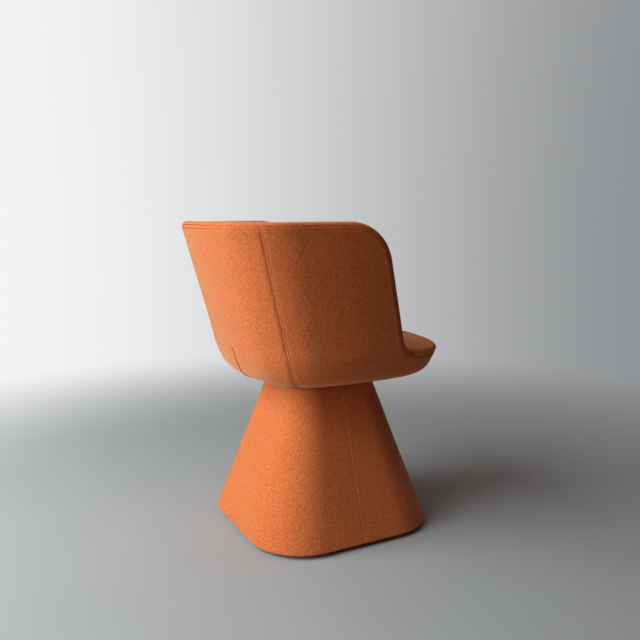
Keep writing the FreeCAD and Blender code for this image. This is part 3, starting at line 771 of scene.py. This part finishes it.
# The closing fly: a flat folded strip of the wool over the seam through which the cover is
# pulled on, low on the middle of the back. It is stitched down at both edges and twice
# across its top. The nap stands up on the fold and catches more light.
fly_half_width, fly_thick, fly_top, fly_turn = 0.0086, 0.0014, 0.474, radians(-6)
fly_edge_thick, fly_base_sink, fly_end_sink = 0.0011, 0.0007, 0.0010
fly_edge_stitches, fly_top_stitches, fly_top_rows = 0.0068, 0.0080, (0.0036, 0.0022)
fly_edge_lift, fly_top_lift = 0.0007, 0.0009
fold_wool = wool.copy()
fold_wool.name = "orange_wool_fold"
fold_wool.node_tree.nodes["Principled BSDF"].inputs["Sheen Weight"].default_value = 1.0
fly_end = climb_at(fly_top)
fly_climbs = np.concatenate([np.linspace(0.0, fly_end - 0.0015, 40), [fly_end]])
section = []
for share in np.linspace(-1, 1, 21):
    fold = max(0.0, 1 - (share / 0.62) ** 4) ** 0.5
    edge = max(0.0, 1 - abs(share) ** 8)
    section.append((share * fly_half_width,
                    fly_thick * fold + fly_edge_thick * edge - fly_base_sink))
points, faces = [], []
for number, up_wall in enumerate(fly_climbs):
    radius = float(rear_at(up_wall))
    for across, rise in section:
        turns = np.array([fly_turn + across / radius])
        base_point = tub_point(turns, np.array([up_wall]))[0]
        rise = -fly_end_sink if number == len(fly_climbs) - 1 else rise
        points.append(base_point + tub_normal(turns, np.array([max(up_wall, 0.002)]))[0] * rise)
wide = len(section)
for i in range(len(fly_climbs) - 1):
    for j in range(wide - 1):
        a, b = i * wide + j, (i + 1) * wide + j
        faces.append((a, b, b + 1, a + 1))
fly = mesh_object("closing_fly_strip", points, faces, fold_wool)
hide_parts("closing_fly")
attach(fly, "seat")

lines = []
up_wall = np.linspace(0.009, fly_end - 0.003, 40)
for across in (-fly_edge_stitches, fly_edge_stitches):
    turns = fly_turn + across / rear_at(up_wall)
    lines.append(line_on_tub(turns, up_wall, fly_edge_lift))
for below_end in fly_top_rows:
    up_wall = np.full(8, fly_end - below_end)
    turns = fly_turn + np.linspace(-fly_top_stitches, fly_top_stitches, 8) / rear_at(up_wall)
    lines.append(line_on_tub(turns, up_wall, fly_top_lift))
sew("closing_fly_stitches", lines)


# The seat: a foam pad in the tub under a tight cover of the same wool. It is crowned, and in
# front of the wings it laps over the tub's front wall with a soft rounded lip. The foam's
# swell under the cover is found with a cloth simulation of the closed pad.
crown_rise, lip_round, wall_overlap = 0.012, 0.014, 0.0015
rear_dip, rear_dip_from, rear_dip_fade = 0.0085, 0.90, radians(14)
crown_radius = (seat_front ** 2 + crown_rise ** 2) / (2 * crown_rise)
sill_y = edge_line(0.0)[-1, 0]


def crown_height(x, y):
    top_centre = seat_edge_height + crown_rise - crown_radius
    return top_centre + np.sqrt(crown_radius ** 2 - x ** 2 - y ** 2)


sill_turn = float(turn_for(sill_y, seat_edge_height, wall_thick))
outer_sill_turn = float(turn_for(sill_y, seat_edge_height, 0.0))
seat_turns = np.concatenate([np.linspace(0, sill_turn, 66), np.linspace(sill_turn, pi, 42)[1:]])
level = climb_at(seat_edge_height)
border = tub_point(seat_turns, level, wall_thick - wall_overlap)
rings = [0.0, 0.06, 0.14, 0.23, 0.32, 0.41, 0.50, 0.59, 0.68, 0.76, 0.83, 0.89, 0.93, 0.96,
         0.98, 1.0]
points, faces = [np.array([0, 0, seat_edge_height + crown_rise])], []
behind = np.clip((sill_turn - seat_turns) / rear_dip_fade, 0, 1)
for share in rings[1:]:
    flat = border[:, :2] * share
    rise = crown_height(flat[:, 0], flat[:, 1])
    near_edge = np.clip((share - rear_dip_from) / (1 - rear_dip_from), 0, 1)
    rise = rise - rear_dip * behind * near_edge ** 2
    points.extend(np.column_stack([flat, rise]))
around = len(seat_turns)


def ring_number(ring, i):
    return 1 + (ring - 1) * around + i


for i in range(around - 1):
    faces.append((0, ring_number(1, i), ring_number(1, i + 1)))
    for ring in range(1, len(rings) - 1):
        inner, outer = ring_number(ring, i), ring_number(ring + 1, i)
        faces.append((inner, outer, outer + 1, inner + 1))

# over the front wall: across the wall's top, round the lip, and in under its seam
front_from = 63
shift_fade, wing_fade = radians(26), radians(13)
lip_turns = seat_turns[front_from:]
past_sill = eased(np.clip((lip_turns - sill_turn) / shift_fade, 0, 1))
outer_turns = lip_turns + (outer_sill_turn - sill_turn) * (1 - past_sill)
free = eased(np.clip((lip_turns - sill_turn) / wing_fade, 0, 1))
section_round = rim_round + (lip_round - rim_round) * free
tuck = np.where(lip_turns < sill_turn - 1e-6, 0.0006, 0.0)
lip_rows = [(wall_thick * share, 0.0) for share in (0.88, 0.74, 0.60)]
lip_rows += [(section_round * (1 - cos(angle)), section_round * (1 - sin(angle)))
             for angle in np.linspace(pi / 2, 0, 11)]
lip_rows += [(0.0, 0.0193), (0.0001, 0.0197), (0.0005, 0.0201), (0.0016, 0.0204),
             (0.0080, 0.0206)]
rim_numbers = [ring_number(len(rings) - 1, i) for i in range(around)]
previous = rim_numbers[front_from:]
sides = []
for inset, drop in lip_rows:
    inset = inset + tuck
    turns_here = lip_turns + (outer_turns - lip_turns) * np.clip(1 - inset / wall_thick, 0, 1)
    edge = tub_point(turns_here, climb_at(seat_edge_height - drop), inset)
    crowned = crown_height(edge[:, 0], edge[:, 1]) - seat_edge_height
    over_wall = np.clip((wall_thick - inset) / (wall_thick * 0.5), 0, 1)
    crowned = crowned * (1 - (1 - free) * over_wall)
    rise = seat_edge_height - drop + crowned * np.clip(1 - drop / lip_round, 0, 1) - tuck
    first = len(points)
    points.extend(np.column_stack([edge[:, :2], rise]))
    numbers = list(range(first, len(points)))
    for i in range(len(numbers) - 1):
        faces.append((previous[i], numbers[i], numbers[i + 1], previous[i + 1]))
    previous = numbers
    sides.append(numbers[0])

# underside: in below the wall's top, and flat across the seat board
under_edge, underside = 0.446, 0.4435
upper_ring = rim_numbers[:front_from] + previous
under = tub_point(seat_turns, level, wall_thick + wall_overlap)[:, :2]
for number, share in enumerate((1.0, 0.97, 0.85, 0.6, 0.3)):
    first = len(points)
    rise = np.full(around, underside if number else under_edge)
    points.extend(np.column_stack([under * share, rise]))
    numbers = list(range(first, len(points)))
    for i in range(around - 1):
        if number or i != front_from - 1:
            faces.append((upper_ring[i], numbers[i], numbers[i + 1], upper_ring[i + 1]))
    if number == 0:
        # at the wing's foot the rim steps out to the lip, which a fan of triangles closes
        edge = rim_numbers[front_from]
        faces.append((edge - 1, numbers[front_from - 1], numbers[front_from], edge))
        faces.extend((edge if step == 0 else sides[step - 1], numbers[front_from], sides[step])
                     for step in range(len(sides)))
    upper_ring = numbers
points.append(np.array([0, 0, underside]))
faces.extend((upper_ring[i], len(points) - 1, upper_ring[i + 1]) for i in range(around - 1))
both, faces, _ = with_mirror_image(np.array(points), faces)
seat = mesh_object("seat_cushion", both, faces, wool)


def swelled(piece, pressure, most):
    """How far each point of a closed pad moves when its cover is blown out by the foam: a
    voxel copy is simulated as cloth, and its movement, at most so far, is carried over."""
    voxel, frames, neighbours = 0.006, 20, 8
    pad = add_object("pad_form", piece.data.copy())
    remesh = pad.modifiers.new("voxels", "REMESH")
    remesh.mode = "VOXEL"
    remesh.voxel_size = voxel
    scene.frame_set(1)
    evaluated = pad.evaluated_get(bpy.context.evaluated_depsgraph_get())
    formed = bpy.data.meshes.new_from_object(evaluated)
    pad.modifiers.clear()
    pad.data = formed
    at_rest = np.array([tuple(vert.co) for vert in formed.vertices])
    cloth = pad.modifiers.new("cover", "CLOTH")
    cloth.settings.quality = 5
    cloth.settings.mass = 0.3
    cloth.settings.tension_stiffness = cloth.settings.compression_stiffness = 15
    cloth.settings.use_pressure = True
    cloth.settings.uniform_pressure_force = pressure
    cloth.settings.effector_weights.gravity = 0
    cloth.point_cache.frame_start, cloth.point_cache.frame_end = 1, frames
    for number in range(1, frames + 1):
        scene.frame_set(number)
    blown = pad.evaluated_get(bpy.context.evaluated_depsgraph_get()).to_mesh()
    moved = np.array([tuple(vert.co) for vert in blown.vertices]) - at_rest
    length = np.linalg.norm(moved, axis=1)[:, None]
    moved *= np.minimum(1, most / np.maximum(length, 1e-9))
    scene.frame_set(1)
    tree = kdtree.KDTree(len(at_rest))
    for number, point in enumerate(at_rest):
        tree.insert(point, number)
    tree.balance()
    shift = []
    for vert in piece.data.vertices:
        found = tree.find_n(vert.co, neighbours)
        shares = np.array([1 / (distance + 0.001) for _, _, distance in found])
        shares = shares / shares.sum()
        shift.append(sum(share * moved[number] for share, (_, number, _) in zip(shares, found)))
    bpy.data.objects.remove(pad)
    return np.array(shift)


shift = swelled(seat, pressure=4.0, most=0.004)
held_edge = 0.035
reach = np.linalg.norm(both[:, :2], axis=1)
edge_reach = np.interp(np.abs(np.arctan2(both[:, 0], both[:, 1])), seat_turns,
                       np.linalg.norm(border[:, :2], axis=1))
on_top = both[:, 2] > seat_edge_height
free_share = eased(np.clip((edge_reach - reach) / held_edge, 0, 1) * on_top)
seat.data.vertices.foreach_set("co", (both + shift * free_share[:, None]).ravel())
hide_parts("seat_cover", "seat_pad")
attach(seat, "seat")


# The pedestal's cover: two halves of the same wool sewn together down the middle of each
# side, drawn over a thin foam and turned in over the top and under the foot.
foot_half, foot_corner, neck_half, neck_corner = 0.240, 0.138, 0.1175, 0.066
foot_clearance, pedestal_top = 0.009, 0.369
foot_round, neck_round = 0.007, 0.003
foot_turn_in, neck_turn_in, neck_turn_down = 0.026, 0.006, 0.004
foam_scale, foam_depth = 8.0, 0.0009
seam_depth, seam_width = 0.0008, 0.0009
ridge_rise, ridge_at, ridge_width = 0.0005, 0.0017, 0.0013
flat_depth, flat_at, flat_width = 0.0002, 0.004, 0.003


def pedestal_radius(turn, half, corner, inset):
    """Distance from the axis to a rounded square's outline."""
    quarter = (turn + pi / 4) % (pi / 2) - pi / 4
    along, across = np.cos(quarter), np.abs(np.sin(quarter))
    flat = half - corner
    on_side = (half - inset) / along
    on_corner = ray_to_arc(along, across, flat, flat, corner - inset)
    return np.where(on_side * across < flat, on_side, on_corner)


ladder = [(foot_turn_in, foot_clearance + 0.0004), (0.018, foot_clearance),
          (0.012, foot_clearance)]
for angle in np.linspace(0, pi / 2, 7):
    ladder.append((foot_round * (1 - sin(angle)), foot_clearance + foot_round * (1 - cos(angle))))
for z in np.linspace(foot_clearance + foot_round, pedestal_top - neck_round, 56)[1:]:
    ladder.append((0.0, z))
for angle in np.linspace(0, pi / 2, 5)[1:]:
    ladder.append((neck_round * (1 - cos(angle)), pedestal_top - neck_round * (1 - sin(angle))))
ladder.append((neck_turn_in, pedestal_top))
half_turns = np.radians(np.concatenate([np.linspace(0, 5, 13), np.linspace(5, 175, 96)[1:-1],
                                        np.linspace(175, 180, 13)]))


def level_ring(turns, radius, z):
    return np.column_stack([radius * np.cos(turns), radius * np.sin(turns),
                            np.full(len(turns), z)])


def pedestal_rows(turns):
    """Rows of points up the cover's half, its seam edges at the first and the last turn."""
    rows = []
    for inset, z in ladder:
        share = (z - foot_clearance) / (pedestal_top - foot_clearance)
        half = foot_half + (neck_half - foot_half) * share
        corner = foot_corner + (neck_corner - foot_corner) * share
        radius = pedestal_radius(turns, half, corner, inset)
        point = level_ring(turns, radius, z)
        beside = point[:, 1] * np.sign(point[:, 0])
        seam = (ridge_rise * hump(beside - ridge_at, ridge_width)
                - seam_depth * hump(beside, seam_width)
                - flat_depth * hump(beside + flat_at, flat_width))
        seam = seam if inset < neck_turn_in else 0 * seam
        soft = np.array([noise.noise(Vector(p) * foam_scale + Vector((3, 1, 0))) for p in point])
        point[:, :2] *= (1 + (seam + soft * foam_depth) / radius)[:, None]
        rows.append(point)
    ring = level_ring(turns, hub_opening, pedestal_top)
    return rows + [ring, ring - np.array([0, 0, neck_turn_down])]


for half_name, turns, node_names in (("front", half_turns + pi, ("base_cover_front", "base_foam")),
                                     ("rear", half_turns, ("base_cover_rear",))):
    rows_here = pedestal_rows(turns)
    wide = len(turns)
    points = np.concatenate(rows_here)
    faces = [(i * wide + j, i * wide + j + 1, (i + 1) * wide + j + 1, (i + 1) * wide + j)
             for i in range(len(rows_here) - 1) for j in range(wide - 1)]
    piece = mesh_object("pedestal_cover_" + half_name, points, faces, wool)
    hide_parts(*node_names)
    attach(piece, "base")


def finished(name, *nodes, **constants):
    """New material on CAD nodes. Gives its Principled BSDF and the object coordinates."""
    finish, shader, place = material(name, **constants)
    for node in nodes:
        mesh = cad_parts[node].data
        mesh.materials.clear()
        mesh.materials.append(finish)
    return shader, place


# The boards and ribs in the pedestal and the board under the seat: birch plywood, routed. The
# ribs are half-lapped into each other and the boards are screwed to them.
birch_dark, birch_pale = (0.42, 0.27, 0.14, 1), (0.70, 0.54, 0.34, 1)
shader, place = finished("birch_plywood", "base_bottom_board", "base_top_board",
                         "base_rib_along", "base_rib_across", "seat_board", Roughness=0.6)
grain = place.stretched(9.0, 60.0, 60.0).noise(6.0, 4.0, 0.6)
plies = place.node("ShaderNodeTexWave", {"bands_direction": "Z"}, Vector=place, Scale=210.0,
                   Distortion=0.6)
feed(shader, Base_Color=(grain * 0.7 + plies * 0.3).band(0.3, 0.7).mix(birch_dark, birch_pale),
     Normal=bumped(grain, 0.2, 0.0006))


# The pedestal's skin: thin brown hardboard of pressed fibres, bent round the boards and ribs
# and glued to them. The foam is glued on it.
fibre_dark, fibre_pale = (0.20, 0.11, 0.05, 1), (0.36, 0.22, 0.11, 1)
shader, place = finished("hardboard", "base_skin", Roughness=0.75)
flecks = place.noise(600.0, 3.0)
feed(shader, Base_Color=flecks.band(0.35, 0.65).mix(fibre_dark, fibre_pale),
     Normal=bumped(flecks, 0.3, 0.0004))


# The tub's shell: one moulding of nearly black plastic, a little rough from the mould. The
# seat board is screwed into it and the tub's foam is moulded round it.
shell_black, shell_grey = (0.016, 0.016, 0.017, 1), (0.026, 0.026, 0.027, 1)
shader, place = finished("moulded_shell", "shell_frame", Roughness=0.5)
orange_peel = place.noise(900.0, 2.0)
feed(shader, Base_Color=place.noise(12.0).band(0.3, 0.7).mix(shell_black, shell_grey),
     Roughness=orange_peel * 0.2 + 0.4, Normal=bumped(orange_peel, 0.15, 0.0003))


# The swivel's two pressed plates and all bolts, nuts and screws: zinc-plated steel. The
# plates are bolted through the boards into tee nuts.
zinc_dull, zinc_bright = (0.44, 0.44, 0.43, 1), (0.60, 0.60, 0.58, 1)
shader, place = finished("zinc_plate", "swivel_lower_plate", "swivel_upper_plate", "pin_washer",
                         "pin_locknut", "lower_tee_nuts", "upper_tee_nuts", "lower_plate_bolts",
                         "upper_plate_bolts", "glide_screws", "base_frame_screws",
                         "seat_board_screws", Metallic=1.0)
spangle = place.noise(160.0, 3.0, 0.6)
feed(shader, Base_Color=spangle.band(0.3, 0.7).mix(zinc_dull, zinc_bright),
     Roughness=spangle * 0.25 + 0.25, Normal=bumped(spangle, 0.08, 0.0003))


# The swivel's two races, its balls and the king pin: hardened steel, turned and ground. The
# pin is riveted into the lower plate and holds the tub down.
steel_dull, steel_bright = (0.46, 0.46, 0.47, 1), (0.55, 0.55, 0.56, 1)
shader, place = finished("ground_steel", "lower_race", "upper_race", "king_pin",
                         "bearing_balls", Metallic=1.0)
turned = place.stretched(1.0, 1.0, 30.0).noise(240.0, 2.0)
feed(shader, Base_Color=turned.band(0.3, 0.7).mix(steel_dull, steel_bright),
     Roughness=turned * 0.15 + 0.16)


# The cage that keeps the balls apart, and the bush that the pin turns in: moulded nylon of
# its natural ivory colour.
nylon_dull, nylon_pale = (0.66, 0.64, 0.56, 1), (0.74, 0.72, 0.65, 1)
shader, place = finished("cage_nylon", "ball_cage", "pin_bush", Roughness=0.45)
feed(shader, Base_Color=place.noise(80.0).band(0.3, 0.7).mix(nylon_dull, nylon_pale),
     Normal=bumped(place.noise(700.0), 0.1, 0.0003))


# The four glides: flat feet of black plastic, each screwed under the bottom board. They are
# scuffed by the floor.
glide_black, glide_scuffed = (0.012, 0.012, 0.013, 1), (0.05, 0.05, 0.05, 1)
shader, place = finished("black_glide", "glides", Roughness=0.45)
scuffs = place.stretched(1.0, 6.0, 1.0).noise(240.0, 3.0)
feed(shader, Base_Color=scuffs.band(0.55, 0.75).mix(glide_black, glide_scuffed),
     Roughness=scuffs * 0.3 + 0.3, Normal=bumped(scuffs, 0.1, 0.0003))


# The dust cloth: thin black non-woven cloth, glued under the bottom board, where it hides
# the turned-in edge of the cover.
lining_black, lining_grey = (0.008, 0.008, 0.009, 1), (0.030, 0.030, 0.032, 1)
shader, place = finished("black_lining", "base_dust_cloth", Roughness=0.9)
felted = place.noise(1100.0, 3.0)
feed(shader, Base_Color=felted.band(0.35, 0.7).mix(lining_black, lining_grey),
     Normal=bumped(felted, 0.4, 0.0004))
